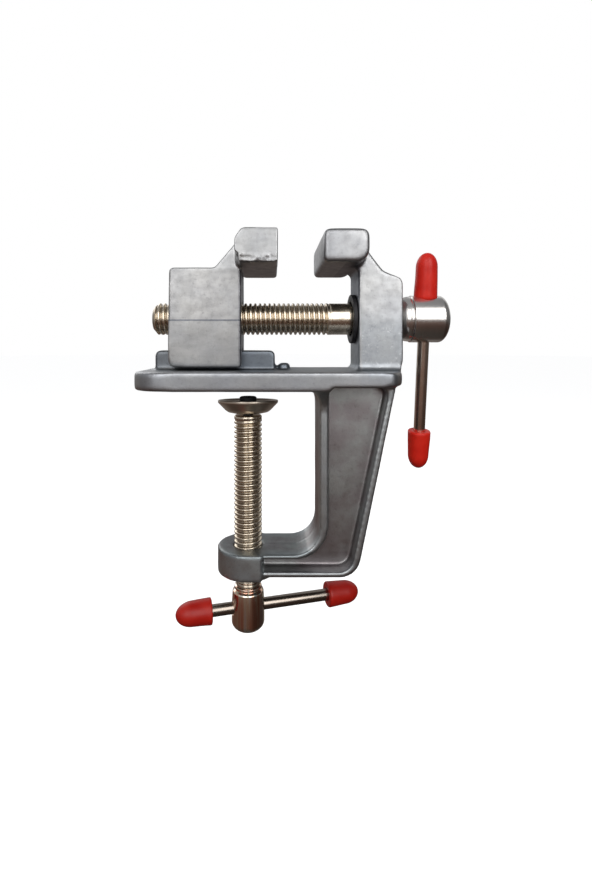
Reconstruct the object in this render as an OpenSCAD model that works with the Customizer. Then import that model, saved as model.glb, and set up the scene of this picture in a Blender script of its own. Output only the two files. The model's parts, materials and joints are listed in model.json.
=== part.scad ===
// Small table-edge bench vise, in millimetres.
// +X points from the movable jaw to the crank, +Y to the back and +Z up.
// The origin lies on the clamp screw's axis, at the height of the base's underside.

/* [Base] */
// Reach of the base to the left of the clamp screw
base_left = 33.5; // [31:0.5:40]
// Reach of the base to the right of the clamp screw
base_right = 46.5; // [45:0.5:47]
// Width of the base and of both jaw heads
vise_w = 34; // [30:1:38]
// Thickness of the base
base_t = 5.5; // [5:0.1:5.7]

/* [Jaws] */
// Opening between the jaws as the vise stands
jaw_gap = 12.95; // [10:0.05:13.5]
// Gripping face of the fixed jaw
fixed_face_x = 22.25; // [22:0.05:24]
// Underside of both jaw heads
head_z = 36.85; // [35:0.05:38]
// Height of both jaw heads
head_h = 9.75; // [9:0.05:11]
// Width of the jaw bodies under the heads
body_w = 15.4; // [14:0.1:17]

/* [Guide rail] */
// Left end of the rail, left of the clamp screw
rail_left = 29; // [26:0.5:30]
// Right end of the rail
rail_right = 8.5; // [7:0.1:8.6]
// Width of the rail
rail_w = 5; // [4:0.1:5]
// Top of the rail
rail_top = 11.6; // [10:0.1:12]

/* [C frame] */
// Inner wall of the C frame
wall_x = 21.9; // [20:0.1:23]
// Top of the lower arm, below the base
arm_top = 49.7; // [47:0.1:50]
// Width of the C frame
spine_w = 17.5; // [15:0.1:18]
// Diameter of the clamp boss
boss_d = 19; // [18:0.1:20]
// Thickness of the web between the flanges
web_t = 7.4; // [3:0.1:9]

/* [Main screw] */
// Thread diameter
main_d = 10; // [9.6:0.1:10.2]
// Height of the screw's axis
main_z = 21.5; // [21:0.1:23]
// Diameter of the head
main_head_d = 14.8; // [14:0.1:15]

/* [Clamp screw] */
// Thread diameter
clamp_d = 8.8; // [8:0.1:9]
// Diameter of the head
clamp_head_d = 10.4; // [10:0.1:11]
// Diameter of the pad
pad_d = 19.1; // [18:0.1:21]

/* [Threads] */
// Pitch of both threads
pitch = 1.5; // [1.25:0.25:1.75]
// Depth of the threads
thread_h = 0.75; // [0.5:0.05:0.9]

/* [Handles] */
// Diameter of both handle bars
bar_d = 3.6; // [3:0.1:3.8]
// Lean of the main handle from upright, in degrees
main_lean = 8.3; // [0:0.1:20]
// Turn of the clamp handle from the X axis, in degrees
clamp_turn = 14.7; // [0:0.1:30]

/* [Hidden] */
$fn = 96;

CAST = "#a9abad";
NICKEL = "#c9bfae";
VINYL = "#d5302b";
BLACK = "#1e1e20";

// running clearance on the radius, and how far a cut reaches past what it cuts
run = 0.05;
past = 1;
// two solids of one casting reach this far into each other
sink = 0.5;

head_top = head_z + head_h;
body_half = body_w / 2;

// the base narrows from here to its right end
end_x = 42.7;
end_half = 9.5;
base_corner_r = 9;
end_corner_r = 2;
// the step in its underside lies this far right of the C frame's inner wall
step_from = 1.5;
step_to = 2.6;

// rounding of the rail's two upper ends
rail_r = 1.6;

// movable jaw
movable_face_x = fixed_face_x - jaw_gap;
movable_back_x = -3.1;
jaw_x0 = -23.8;
jaw_x1 = -1.75;
jaw_foot_z = base_t + 0.9;
jaw_body_top = 36.8;
rib_x = -9.9;
rib_end_x = -3.3;
rib_top = 44.5;
back_slope_w = 1.95;
back_slope_h = 2.9;
slot_w = rail_w + 0.4;
slot_top = rail_top + 0.3;
parting_z = 20.8;

// fixed jaw
post_x0 = 33.7;
post_x1 = 47.2;
fixed_back_x = 35.4;
foot_r = 1.9;
flare = foot_r + 0.4;
fixed_back_r = 3.7;
// the back of the upright in side view: a steep slope from the head, a short shoulder, and the upright
slope_top = [37.1, 41.3];
slope_foot = [41.3, 35.8];
shoulder = [46.6, 33.6];
shoulder_z = 32;
shoulder_r = 1.2;

// low round boss on the base, in line with the rail
stop_x = 11.4;
stop_d = 4;
stop_h = 2.2;
stop_round = 1.2;

// C frame, whose outer edge leans in towards the bottom
edge_x_top = 44.75;
edge_lean = 0.205;
arm_bottom = 56.6;
boss_bottom = 57.6;
boss_right = 4.6;
relief_h = 1.1;
inner_top_r = 4.5;
inner_bottom_r = 8;
outer_bottom_r = 6.5;
flange_in = 2.6;
flange_out = 1.9;
arm_flange_top = 1.4;
arm_flange_bottom = 1.7;
gusset_r = 7;
pocket_draft = 0.15;
pocket_r = 3.2;
pocket_corner_r = 4.4;
pocket_inner_r = 10;

// main screw, along X
screw_x0 = -29.6;
thread_x0 = -28;
thread_x1 = 26;
end_taper = 1.5;
shank_d = main_d - 2 * run;
ring_x = 32.35;
ring_t = 1.2;
ring_d = 15.4;
ring_root_d = 8;
ring_mouth = 6.4;
neck_x = post_x1 + 0.1;
neck_d = 10.6;
head_x0 = 51.1;
head_x1 = 63;
head_round = 2.8;
// the round collar that leads from the neck to the head
collar_w = 3.3;
collar_r = 4.6;
dome_r = 2.2;
main_hole_x = 56;
seat_d = 7.9;
seat_h = 6.05;

// clamp screw, down Z
clamp_top = -8.9;
clamp_neck_d = 7.5;
clamp_head_z0 = -76.7;
clamp_head_z1 = -62.3;
clamp_round = 3;
shoulder_round = 1.5;
clamp_hole_z = -69.5;
pad_rim_z = -4.1;
pad_floor_z = -5;
pad_foot_z = -8.4;
pad_foot_r = 4.2;
pad_bend_r = 1.9;
pin_d = 3;
pin_deep = 5;
pin_head_d = 5.4;
pin_head_top = -3;
cross_l = 3.4;
cross_w = 0.9;
cross_deep = 1;

// handles: how far each tip stands from the screw's axis, and the caps on the tips
main_up = 20.7;
main_down = 49.5;
main_cap_upper_l = 14.5;
main_cap_lower_l = 12.8;
main_cap_d = 7.2;
clamp_left = 22.7;
clamp_right = 37.7;
clamp_cap_l = 11.1;
clamp_cap_d = 7.8;
cap_wall = 1.6;
cap_grip = 0.04;
// length and width of a cap's round nose, as shares of the cap's diameter
nose_l = 0.66;
nose_w = 0.92;

function unit(v) = v / norm(v);

// X of the C frame's outer edge at height z
function edge_x(z) = edge_x_top + z * edge_lean;

// corner c of an outline, rounded to radius r, between its neighbours p and n
function round_corner(p, c, n, r) =
    let (u = unit(p - c), v = unit(n - c),
         half = acos(u * v) / 2,
         mid = c + unit(u + v) * r / sin(half),
         from = c + u * r / tan(half) - mid,
         to = c + v * r / tan(half) - mid,
         turn = (180 - 2 * half) * sign(from.x * to.y - from.y * to.x),
         steps = ceil(abs(turn) / 12))
    [for (i = [0:steps])
        let (a = turn * i / steps)
        mid + [from.x * cos(a) - from.y * sin(a), from.x * sin(a) + from.y * cos(a)]];

// an outline from its corners [x, y, radius]; radius 0 keeps a corner sharp
function rounded(pts) =
    let (n = len(pts))
    [for (i = [0:n - 1])
        let (p = pts[(i + n - 1) % n], c = pts[i], q = pts[(i + 1) % n])
        each c[2] > 0 ? round_corner([p.x, p.y], [c.x, c.y], [q.x, q.y], c[2]) : [[c.x, c.y]]];

// a round stretch of a profile, from angle a to angle b about [x, y]
function arc(x, y, r, a, b) =
    [for (i = [0:6]) [x + r * cos(a + (b - a) * i / 6), y + r * sin(a + (b - a) * i / 6)]];

// crests and roots of a thread of radius r that ends at b, as [place, radius]
function thread(a, b, r) =
    let (turns = floor((b - a) / pitch), start = b - turns * pitch)
    [for (i = [0:turns - 1])
        each [[start + (i + 0.06) * pitch, r], [start + (i + 0.44) * pitch, r - thread_h],
              [start + (i + 0.56) * pitch, r - thread_h], [start + (i + 0.94) * pitch, r]]];

// an outline drawn in X and Z, w thick and centred on the plane Y = 0
module side_plate(pts, w) {
    rotate([90, 0, 0])
        linear_extrude(height = w, center = true)
            polygon(rounded(pts));
}

// an outline drawn in Y and Z for the +Y side, mirrored to the other, from x0 to x1
module along_x(half, x0, x1) {
    other = [for (i = [len(half) - 1:-1:0]) [-half[i].x, half[i].y, half[i][2]]];
    translate([x0, 0, 0])
        rotate([90, 0, 90])
            linear_extrude(height = x1 - x0)
                polygon(rounded(concat(half, other)));
}

// a profile of [x, radius] turned about the main screw's axis
module main_turned(pts) {
    translate([0, 0, main_z])
        rotate([0, 90, 0])
            rotate_extrude()
                polygon([for (p = pts) [p[1], p[0]]]);
}

module main_bore(r, x0, x1) {
    translate([x0, 0, main_z])
        rotate([0, 90, 0])
            cylinder(r = r, h = x1 - x0);
}

// places its children on the main handle's bar, whose axis is then Z
module on_main_bar() {
    translate([main_hole_x, 0, main_z])
        rotate([main_lean, 0, 0])
            children();
}

// places its children on the clamp handle's bar, whose axis is then Z
module on_clamp_bar() {
    translate([0, 0, clamp_hole_z])
        rotate([0, 0, clamp_turn])
            rotate([0, 90, 0])
                children();
}

// Frame casting

module base_plate() {
    intersection() {
        linear_extrude(height = base_t)
            polygon(rounded([[-base_left, -vise_w / 2, base_corner_r],
                             [end_x, -vise_w / 2, end_corner_r],
                             [base_right, -end_half, end_corner_r],
                             [base_right, end_half, end_corner_r],
                             [end_x, vise_w / 2, end_corner_r],
                             [-base_left, vise_w / 2, base_corner_r]]));
        side_plate([[-base_left - past, 0, 0], [wall_x + step_from, 0, 0],
                    [wall_x + step_to, relief_h, 0],
                    [base_right + past, relief_h, 0], [base_right + past, base_t, 0],
                    [-base_left - past, base_t, 0]], vise_w + past);
    }
}

module guide_rail() {
    side_plate([[-rail_left, base_t - sink, 0], [-rail_left, rail_top, rail_r],
                [rail_right, rail_top, rail_r], [rail_right, base_t - sink, 0]], rail_w);
}

module stop_boss() {
    translate([stop_x, 0, base_t - sink])
        rotate_extrude()
            polygon(concat([[0, 0], [stop_d / 2, 0]],
                           arc(stop_d / 2 - stop_round, sink + stop_h - stop_round, stop_round, 0, 90),
                           [[0, sink + stop_h]]));
}

// upright of the fixed jaw, flared at its foot and, on its inner side, under the head
module fixed_post() {
    intersection() {
        side_plate([[post_x0 - flare - 0.1, base_t - sink, 0], [post_x0 - flare, base_t, 0],
                    [post_x0, base_t, foot_r], [post_x0, head_z, foot_r],
                    [post_x0 - flare, head_z, 0], [post_x0 - flare, head_top - 1, 0],
                    [fixed_back_x - 0.1, head_top - 1, 0], [slope_top.x, slope_top.y, 1.5],
                    [slope_foot.x, slope_foot.y, 3], [shoulder.x, shoulder.y, shoulder_r],
                    [post_x1, shoulder_z, shoulder_r], [post_x1, base_t + 3, 3],
                    [base_right - 0.2, base_t - sink, 0]], vise_w);
        along_x([[body_half + flare + 0.1, base_t - sink, 0], [body_half + flare, base_t, 0],
                 [body_half, base_t, foot_r], [body_half - 0.2, head_top, 1.5]],
                post_x0 - 5, post_x1 + past);
    }
}

module fixed_head() {
    side_plate([[fixed_face_x, head_z, 1], [fixed_face_x, head_top, 1.5],
                [fixed_back_x, head_top, 2], [fixed_back_x, head_z, fixed_back_r]], vise_w);
}

function frame_outline() =
    [[wall_x - 6, 1, 0], [wall_x - 6, 0, 0], [wall_x, 0, inner_top_r],
     [wall_x, -arm_top, inner_bottom_r], [-1, -arm_top, 0], [-1, -arm_bottom, 0],
     [edge_x(-arm_bottom), -arm_bottom, outer_bottom_r],
     [edge_x(relief_h + 1), relief_h + 1, 0]];

module c_frame() {
    side_plate(frame_outline(), spine_w);
    // the inner flange spreads to the base's full width at its top
    intersection() {
        side_plate(frame_outline(), vise_w);
        along_x([[vise_w / 2, 1, 0], [vise_w / 2 - 0.4, 0, 0], [spine_w / 2, 0, gusset_r],
                 [spine_w / 2, -gusset_r - 2, 0]], wall_x - 5.5, wall_x + flange_in);
    }
}

// solid block at the arm's end, round about the clamp screw
module clamp_boss() {
    translate([0, 0, -boss_bottom]) {
        cylinder(d = boss_d, h = boss_bottom - arm_top);
        translate([0, -boss_d / 2, 0])
            cube([boss_right, boss_d, boss_bottom - arm_top]);
    }
}

// outline of the pocket between the flanges, drawn in by d
function pocket(d) =
    let (left = wall_x + flange_in + d, right = flange_out + d,
         top = -arm_top - arm_flange_top - d, bottom = -arm_bottom + arm_flange_bottom + d)
    rounded([[left, relief_h, pocket_r - d],
             [edge_x(relief_h) - right, relief_h, pocket_r - d],
             [edge_x(-arm_bottom) - right, bottom, pocket_corner_r - d],
             [boss_right, bottom, 0],
             [boss_right, top, 0],
             [left, top, pocket_inner_r + d]]);

// the pocket in the +Y face, with sides that lean in towards the web
module pocket_cut() {
    face_y = spine_w / 2 + 0.3;
    web_y = web_t / 2;
    at_face = pocket(0);
    at_web = pocket(pocket_draft);
    n = len(at_face);
    // both ends are fans about the pocket's lower corner, which sees the whole outline
    hub = [wall_x + flange_in + 2, -arm_bottom + 3.6];
    polyhedron(points = concat([for (p = at_face) [p.x, face_y, p.y]],
                               [for (p = at_web) [p.x, web_y, p.y]],
                               [[hub.x, face_y, hub.y], [hub.x, web_y, hub.y]]),
               faces = concat([for (i = [0:n - 1]) [(i + 1) % n, i, 2 * n]],
                              [for (i = [0:n - 1]) [n + i, n + (i + 1) % n, 2 * n + 1]],
                              [for (i = [0:n - 1]) [n + i, i, (i + 1) % n]],
                              [for (i = [0:n - 1]) [n + i, (i + 1) % n, n + (i + 1) % n]]));
}

module frame_casting() {
    color(CAST)
        difference() {
            union() {
                base_plate();
                guide_rail();
                stop_boss();
                fixed_post();
                fixed_head();
                c_frame();
                clamp_boss();
            }
            for (turn = [0, 1])
                mirror([0, turn, 0])
                    pocket_cut();
            main_bore(main_d / 2, post_x0 - past, post_x1 + past);
            translate([0, 0, -boss_bottom - past])
                cylinder(r = clamp_d / 2 + run, h = boss_bottom - arm_top + 2 * past);
        }
}

// Movable jaw

// body and rib in side view, swelling to the parting line at the screw's height
module jaw_body() {
    intersection() {
        side_plate([[jaw_x0 - 0.15, jaw_foot_z, 1.7], [jaw_x0 + 0.15, jaw_body_top, 1.4],
                    [rib_x, jaw_body_top, 1.5], [rib_end_x, rib_top, 0], [jaw_x1, rib_top, 0],
                    [jaw_x1, jaw_foot_z, 1]], vise_w);
        along_x([[body_half - 0.4, jaw_foot_z, 0.8], [body_half + 0.1, parting_z, 0],
                 [body_half - 0.6, rib_top + past, 0]],
                jaw_x0 - past, jaw_x1 + past);
    }
}

module movable_jaw() {
    color(CAST)
        difference() {
            union() {
                jaw_body();
                side_plate([[movable_back_x, head_z, 1.6], [movable_back_x, head_top - back_slope_h, 1.5],
                            [movable_back_x + back_slope_w, head_top, 1.5], [movable_face_x, head_top, 0.6],
                            [movable_face_x, head_z, 1]], vise_w);
            }
            // slot over the guide rail
            translate([jaw_x0 - past, -slot_w / 2, 0])
                cube([jaw_x1 - jaw_x0 + 2 * past, slot_w, slot_top]);
            main_bore(main_d / 2 + run, jaw_x0 - past, jaw_x1 + past);
        }
}

// Main screw and its handle

module main_screw() {
    r = main_d / 2;
    head_r = main_head_d / 2;
    color(NICKEL)
        difference() {
            main_turned(concat(
                [[screw_x0, 0], [screw_x0, r - end_taper], [thread_x0 + 0.1, r - 0.2]],
                thread(thread_x0, thread_x1, r),
                [[thread_x1 + 0.3, shank_d / 2], [ring_x - run, shank_d / 2],
                 [ring_x - run, ring_root_d / 2], [ring_x + ring_t + run, ring_root_d / 2],
                 [ring_x + ring_t + run, shank_d / 2], [neck_x, shank_d / 2],
                 [neck_x, neck_d / 2]],
                [for (a = [75:-15:0])
                    [head_x0 - 0.4 - collar_w * sin(a), collar_r + (head_r - 0.3 - collar_r) * cos(a)]],
                [[head_x0, head_r - 0.5], [head_x0 + 0.2, head_r]],
                [for (a = [90:-10:0])
                    [head_x1 - head_round * (1 - cos(a)), dome_r + (head_r - dome_r) * sin(a)]],
                [[head_x1, 0]]));
            on_main_bar() {
                cylinder(r = bar_d / 2 + run, h = 2 * main_head_d, center = true);
                // flat seat where the upper cap meets the head
                translate([0, 0, seat_h])
                    cylinder(d = seat_d, h = main_head_d);
            }
        }
}

// open ring in the screw's groove, inside the fixed jaw
module screw_retaining_ring() {
    color(BLACK)
        translate([ring_x, 0, main_z])
            rotate([0, 90, 0])
                difference() {
                    cylinder(d = ring_d, h = ring_t);
                    translate([0, 0, -past])
                        cylinder(r = ring_root_d / 2 + run, h = ring_t + 2 * past);
                    translate([0, -ring_mouth / 2, -past])
                        cube([ring_d, ring_mouth, ring_t + 2 * past]);
                }
}

// bar of a handle, from one tip to the other, short of each by the cap's end wall
module handle_bar(down, up) {
    color(NICKEL)
        translate([0, 0, cap_wall - down])
            cylinder(d = bar_d, h = down + up - 2 * cap_wall);
}

// soft cap of length l with a long round nose, its open end at the origin
module handle_cap(l, d) {
    bore = bar_d / 2 - cap_grip;
    nose = nose_l * d;
    nose_r = nose_w * d / 2;
    color(VINYL)
        rotate_extrude()
            polygon(concat([[bore, 0], [d / 2, 0]],
                           [for (a = [0:10:90]) [nose_r * cos(a), l - nose + nose * sin(a)]],
                           [[0, l - cap_wall], [bore, l - cap_wall]]));
}

module main_handle_bar() {
    on_main_bar() handle_bar(main_down, main_up);
}

module main_handle_cap_upper() {
    on_main_bar()
        translate([0, 0, main_up - main_cap_upper_l])
            handle_cap(main_cap_upper_l, main_cap_d);
}

module main_handle_cap_lower() {
    on_main_bar()
        rotate([180, 0, 0])
            translate([0, 0, main_down - main_cap_lower_l])
                handle_cap(main_cap_lower_l, main_cap_d);
}

// Clamp screw, its pad and its handle

module clamp_screw() {
    r = clamp_d / 2;
    neck_r = clamp_neck_d / 2;
    head_r = clamp_head_d / 2;
    color(NICKEL)
        difference() {
            rotate_extrude()
                polygon(concat(
                    [[0, clamp_head_z0]],
                    arc(head_r - clamp_round, clamp_head_z0 + clamp_round, clamp_round, -90, 0),
                    arc(head_r - shoulder_round, clamp_head_z1 - 2.9, shoulder_round, 0, 70),
                    [[neck_r + 0.35, clamp_head_z1 - 1.2], [neck_r + 0.55, clamp_head_z1 - 0.8],
                     [neck_r + 0.4, clamp_head_z1 - 0.3], [neck_r, clamp_head_z1]],
                    [[neck_r, -boss_bottom + 0.5]],
                    [for (p = thread(-boss_bottom + 1, clamp_top - 1.5, r)) [p[1], p[0]]],
                    [[r - 0.1, clamp_top - 0.3], [r - 0.4, clamp_top], [0, clamp_top]]));
            translate([0, 0, clamp_top - pin_deep])
                cylinder(r = pin_d / 2 + run / 2, h = pin_deep + past);
            on_clamp_bar()
                cylinder(r = bar_d / 2 + run, h = 2 * clamp_head_d, center = true);
        }
}

// dished pad that turns freely on the clamp screw's end
module clamp_pad() {
    rim_r = pad_d / 2;
    bore_r = pin_d / 2 + run;
    color(NICKEL)
        rotate_extrude()
            polygon(concat(
                [[bore_r, pad_foot_z], [pad_foot_r, pad_foot_z]],
                arc(rim_r - 3.95, pad_foot_z + 2.2, pad_bend_r, -75, -38),
                [[rim_r, pad_rim_z - 0.35], [rim_r, pad_rim_z], [rim_r - 0.6, pad_rim_z],
                 [rim_r - 2.2, pad_floor_z], [bore_r, pad_floor_z]]));
}

// screw that holds the pad on, with a cross in its head
module clamp_pad_screw() {
    head_r = pin_head_d / 2;
    head_bottom = pad_floor_z + 0.1;
    color(BLACK)
        difference() {
            rotate_extrude()
                polygon(concat(
                    [[0, clamp_top - pin_deep + 0.3], [pin_d / 2, clamp_top - pin_deep + 0.3],
                     [pin_d / 2, head_bottom], [head_r, head_bottom]],
                    arc(head_r - 0.9, pin_head_top - 0.9, 0.9, 0, 90),
                    [[0, pin_head_top]]));
            for (turn = [0, 90])
                rotate([0, 0, turn])
                    translate([-cross_l / 2, -cross_w / 2, pin_head_top - cross_deep])
                        cube([cross_l, cross_w, cross_deep + past]);
        }
}

module clamp_handle_bar() {
    on_clamp_bar() handle_bar(clamp_left, clamp_right);
}

module clamp_handle_cap_left() {
    on_clamp_bar()
        rotate([180, 0, 0])
            translate([0, 0, clamp_left - clamp_cap_l])
                handle_cap(clamp_cap_l, clamp_cap_d);
}

module clamp_handle_cap_right() {
    on_clamp_bar()
        translate([0, 0, clamp_right - clamp_cap_l])
            handle_cap(clamp_cap_l, clamp_cap_d);
}

frame_casting();
movable_jaw();
main_screw();
screw_retaining_ring();
main_handle_bar();
main_handle_cap_upper();
main_handle_cap_lower();
clamp_screw();
clamp_pad();
clamp_pad_screw();
clamp_handle_bar();
clamp_handle_cap_left();
clamp_handle_cap_right();
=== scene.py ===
import json
import math

import bmesh
import bpy
import numpy as np
from mathutils import Matrix, Vector, noise


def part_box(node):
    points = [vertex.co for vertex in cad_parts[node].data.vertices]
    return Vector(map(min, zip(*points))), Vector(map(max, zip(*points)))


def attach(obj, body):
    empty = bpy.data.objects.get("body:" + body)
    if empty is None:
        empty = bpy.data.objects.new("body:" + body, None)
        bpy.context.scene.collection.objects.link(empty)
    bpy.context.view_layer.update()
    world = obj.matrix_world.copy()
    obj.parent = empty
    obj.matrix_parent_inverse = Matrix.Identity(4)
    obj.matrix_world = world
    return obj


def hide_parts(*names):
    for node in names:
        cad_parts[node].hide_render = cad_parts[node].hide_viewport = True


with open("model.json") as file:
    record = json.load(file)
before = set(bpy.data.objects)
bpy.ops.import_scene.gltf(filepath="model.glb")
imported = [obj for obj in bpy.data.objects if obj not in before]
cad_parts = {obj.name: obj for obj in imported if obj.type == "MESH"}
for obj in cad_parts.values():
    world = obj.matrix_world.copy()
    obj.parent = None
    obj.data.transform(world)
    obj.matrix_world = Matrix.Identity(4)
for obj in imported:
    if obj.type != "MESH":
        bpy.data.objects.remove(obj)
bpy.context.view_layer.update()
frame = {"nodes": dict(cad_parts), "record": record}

MM = 0.001
X, Y, Z = Vector((1, 0, 0)), Vector((0, 1, 0)), Vector((0, 0, 1))


# ---------------------------------------------------------------- places, in millimetres, from the frame


def box_mm(node):
    """Lowest and highest corner of a CAD node, in millimetres."""
    low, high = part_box(node)
    return Vector(low) / MM, Vector(high) / MM


def joint(name):
    """A joint's row in the frame's record."""
    return next(j for j in frame["record"]["behaviour"]["joints"] if j["name"] == name)


SCREW = box_mm("main_screw")
CLAMP = box_mm("clamp_screw")
PAD = box_mm("clamp_pad")
PAD_SCREW = box_mm("clamp_pad_screw")
RING = box_mm("screw_retaining_ring")

PITCH = 2 * math.pi * frame["record"]["behaviour"]["couplings"][0]["ratio"] / MM
SCREW_AXIS_Z = (SCREW[0].z + SCREW[1].z) / 2
PARTING_Z = 20.8
MAIN_R = 5.0
CLAMP_R = 4.4
BAR_R = 1.8
# radial play of what turns or slides, and what a bore has on top of it
RUN = 0.05
SLACK = 0.02
# the fixed jaw's two faces along X, the arm's two faces along Z, and the movable jaw's two faces along X
POST_FACES = 33.7, 47.2
ARM_FACES = -57.6, -49.7
JAW_FACES = -23.8, -1.75
# where the main screw's head and the clamp screw's head begin, for their own plating
MAIN_HEAD_FROM = 45
CLAMP_HEAD_TO = -62.4

MAIN_BAR_DIR = Vector(joint("main_handle_slide")["axis"]).normalized()
MAIN_BAR_AT = Vector((56, 0, SCREW_AXIS_Z))
CLAMP_BAR_DIR = Vector(joint("clamp_handle_slide")["axis"]).normalized()
CLAMP_BAR_AT = Vector((0, 0, -69.5))


# ---------------------------------------------------------------- mesh helpers


def new_object(name, mesh):
    """An object with the mesh, linked into the scene."""
    piece = bpy.data.objects.new(name, mesh)
    bpy.context.scene.collection.objects.link(piece)
    return piece


def from_bmesh(name, bm):
    mesh = bpy.data.meshes.new(name)
    bm.to_mesh(mesh)
    bm.free()
    return new_object(name, mesh)


def apply_modifiers(piece):
    """Leaves the piece with its modifiers' result as its own mesh."""
    graph = bpy.context.evaluated_depsgraph_get()
    mesh = bpy.data.meshes.new_from_object(piece.evaluated_get(graph))
    piece.modifiers.clear()
    piece.data = mesh


def shade(piece, angle=35):
    """Smooth faces, with sharp edges where they meet at more than the angle, in degrees."""
    mesh = piece.data
    mesh.polygons.foreach_set("use_smooth", [True] * len(mesh.polygons))
    mesh.set_sharp_from_angle(angle=math.radians(angle))
    mesh.update()


def vertex_rows(piece, key):
    """Three numbers for each vertex: its place where the key is co, or its normal where it is normal."""
    rows = np.empty(len(piece.data.vertices) * 3)
    piece.data.vertices.foreach_get(key, rows)
    return rows.reshape(-1, 3)


def coordinates(piece):
    return vertex_rows(piece, "co")


def set_coordinates(piece, co):
    piece.data.vertices.foreach_set("co", co.ravel())
    piece.data.update()


def set_attribute(piece, name, values):
    layer = piece.data.attributes.get(name) or piece.data.attributes.new(name, "FLOAT", "POINT")
    layer.data.foreach_set("value", np.asarray(values, dtype=np.float32))


def cut(piece, cutter):
    """Takes the cutter out of the piece, and the cutter out of the scene."""
    modifier = piece.modifiers.new("cut", "BOOLEAN")
    modifier.operation = "DIFFERENCE"
    modifier.solver = "EXACT"
    modifier.object = cutter
    apply_modifiers(piece)
    bpy.data.objects.remove(cutter)


def rounded(points, steps=6):
    """A profile from its corners (place, radius, rounding): each corner with a rounding becomes an arc."""
    profile = []
    for i, (s, r, rounding) in enumerate(points):
        here = Vector((s, r))
        if not rounding:
            profile.append((s, r))
            continue
        before = (Vector(points[i - 1][:2]) - here).normalized()
        after = (Vector(points[i + 1][:2]) - here).normalized()
        half = math.acos(max(-1, min(1, before.dot(after)))) / 2
        middle = here + (before + after).normalized() * rounding / math.sin(half)
        start = here + before * rounding / math.tan(half) - middle
        end = here + after * rounding / math.tan(half) - middle
        for k in range(steps + 1):
            arm = start.slerp(end, k / steps) * rounding
            profile.append(tuple(middle + arm))
    return profile


def quarter(steps):
    """Angles from 0 to a right angle."""
    return [math.pi / 2 * i / steps for i in range(steps + 1)]


class Axis:
    """A turning axis: a point in millimetres, a direction, and two more directions square to it."""

    def __init__(self, at, along):
        self.at = Vector(at)
        self.along = Vector(along).normalized()
        side = Y if abs(self.along.dot(Y)) < 0.9 else Z
        self.u = (side - self.along * side.dot(self.along)).normalized()
        self.v = self.along.cross(self.u)

    def point(self, s, r, angle):
        across = self.u * math.cos(angle) + self.v * math.sin(angle)
        return (self.at + self.along * s + across * r) * MM

    def measure(self, co):
        """Places along the axis and distances from it, in millimetres, for metre coordinates."""
        rel = co / MM - np.array(self.at)
        along = np.array(self.along)
        s = rel @ along
        return s, np.linalg.norm(rel - np.outer(s, along), axis=1)


MAIN_AXIS = Axis((0, 0, SCREW_AXIS_Z), X)
CLAMP_AXIS = Axis((0, 0, 0), Z)
MAIN_BAR = Axis(MAIN_BAR_AT, MAIN_BAR_DIR)
CLAMP_BAR = Axis(CLAMP_BAR_AT, CLAMP_BAR_DIR)


def add_turned(bm, axis, profile, segments):
    """Adds a profile of (place, radius) turned about the axis. A radius of 0 closes to one point."""
    rings = []
    for s, r in profile:
        if r < 1e-6:
            rings.append([bm.verts.new(axis.point(s, 0, 0))])
        else:
            turn = 2 * math.pi / segments
            rings.append([bm.verts.new(axis.point(s, r, turn * j)) for j in range(segments)])
    for a, b in zip(rings, rings[1:]):
        for j in range(segments):
            k = (j + 1) % segments
            corners = [a[j % len(a)], a[k % len(a)], b[k % len(b)], b[j % len(b)]]
            bm.faces.new(dict.fromkeys(corners))


# one turn of thread, from crest to crest: (share of the pitch, share of the depth), with a rounded root
THREAD_FORM = [
    (0.0, 0.0), (0.10, 0.01), (0.17, 0.07), (0.23, 0.22), (0.32, 0.70), (0.37, 0.90),
    (0.43, 1.0), (0.57, 1.0), (0.63, 0.90), (0.68, 0.70), (0.77, 0.22), (0.83, 0.07), (0.90, 0.01),
]


def add_thread(bm, axis, s0, s1, radius, depth, envelope, segments):
    """Adds a right-hand thread from s0 to s1.

    envelope(s) gives the largest radius and the share of the depth there. The rings start a turn before s0 and
    end a turn after s1. The last corner of each ring meets the first corner of the ring one turn on.
    """
    per_turn = len(THREAD_FORM)
    last = (math.ceil((s1 - s0) / PITCH) + 1) * per_turn
    rings = {}
    for k in range(-per_turn, last + 1):
        share, deep = THREAD_FORM[k % per_turn]
        ring = []
        for j in range(segments):
            angle = 2 * math.pi * j / segments
            s = s0 + PITCH * (k // per_turn + share + angle / (2 * math.pi))
            s = max(s0, min(s1, s))
            limit, fade = envelope(s)
            r = min(limit, radius - depth * fade * deep)
            ring.append(bm.verts.new(axis.point(s, r, angle)))
        rings[k] = ring
    for k in range(-per_turn, last):
        here, above = rings[k], rings[k + 1]
        for j in range(segments - 1):
            bm.faces.new([here[j], here[j + 1], above[j + 1], above[j]])
        if k + 1 + per_turn <= last:
            bm.faces.new([here[-1], rings[k + per_turn][0], rings[k + 1 + per_turn][0], above[-1]])


def weld(bm):
    """Joins vertices that meet, and turns the faces outwards."""
    distance = 0.0002 * MM
    bmesh.ops.remove_doubles(bm, verts=bm.verts, dist=distance)
    bmesh.ops.dissolve_degenerate(bm, edges=bm.edges, dist=distance)
    bmesh.ops.recalc_face_normals(bm, faces=bm.faces)


def turned(name, axis, profile, segments):
    bm = bmesh.new()
    add_turned(bm, axis, profile, segments)
    bmesh.ops.recalc_face_normals(bm, faces=bm.faces)
    return from_bmesh(name, bm)


def finish_piece(piece, body, node, material):
    """Gives the piece its material, and ties it to its body and the node it replaces."""
    piece.data.materials.clear()
    piece.data.materials.append(material)
    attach(piece, body)
    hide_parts(node)


# ---------------------------------------------------------------- materials


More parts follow.
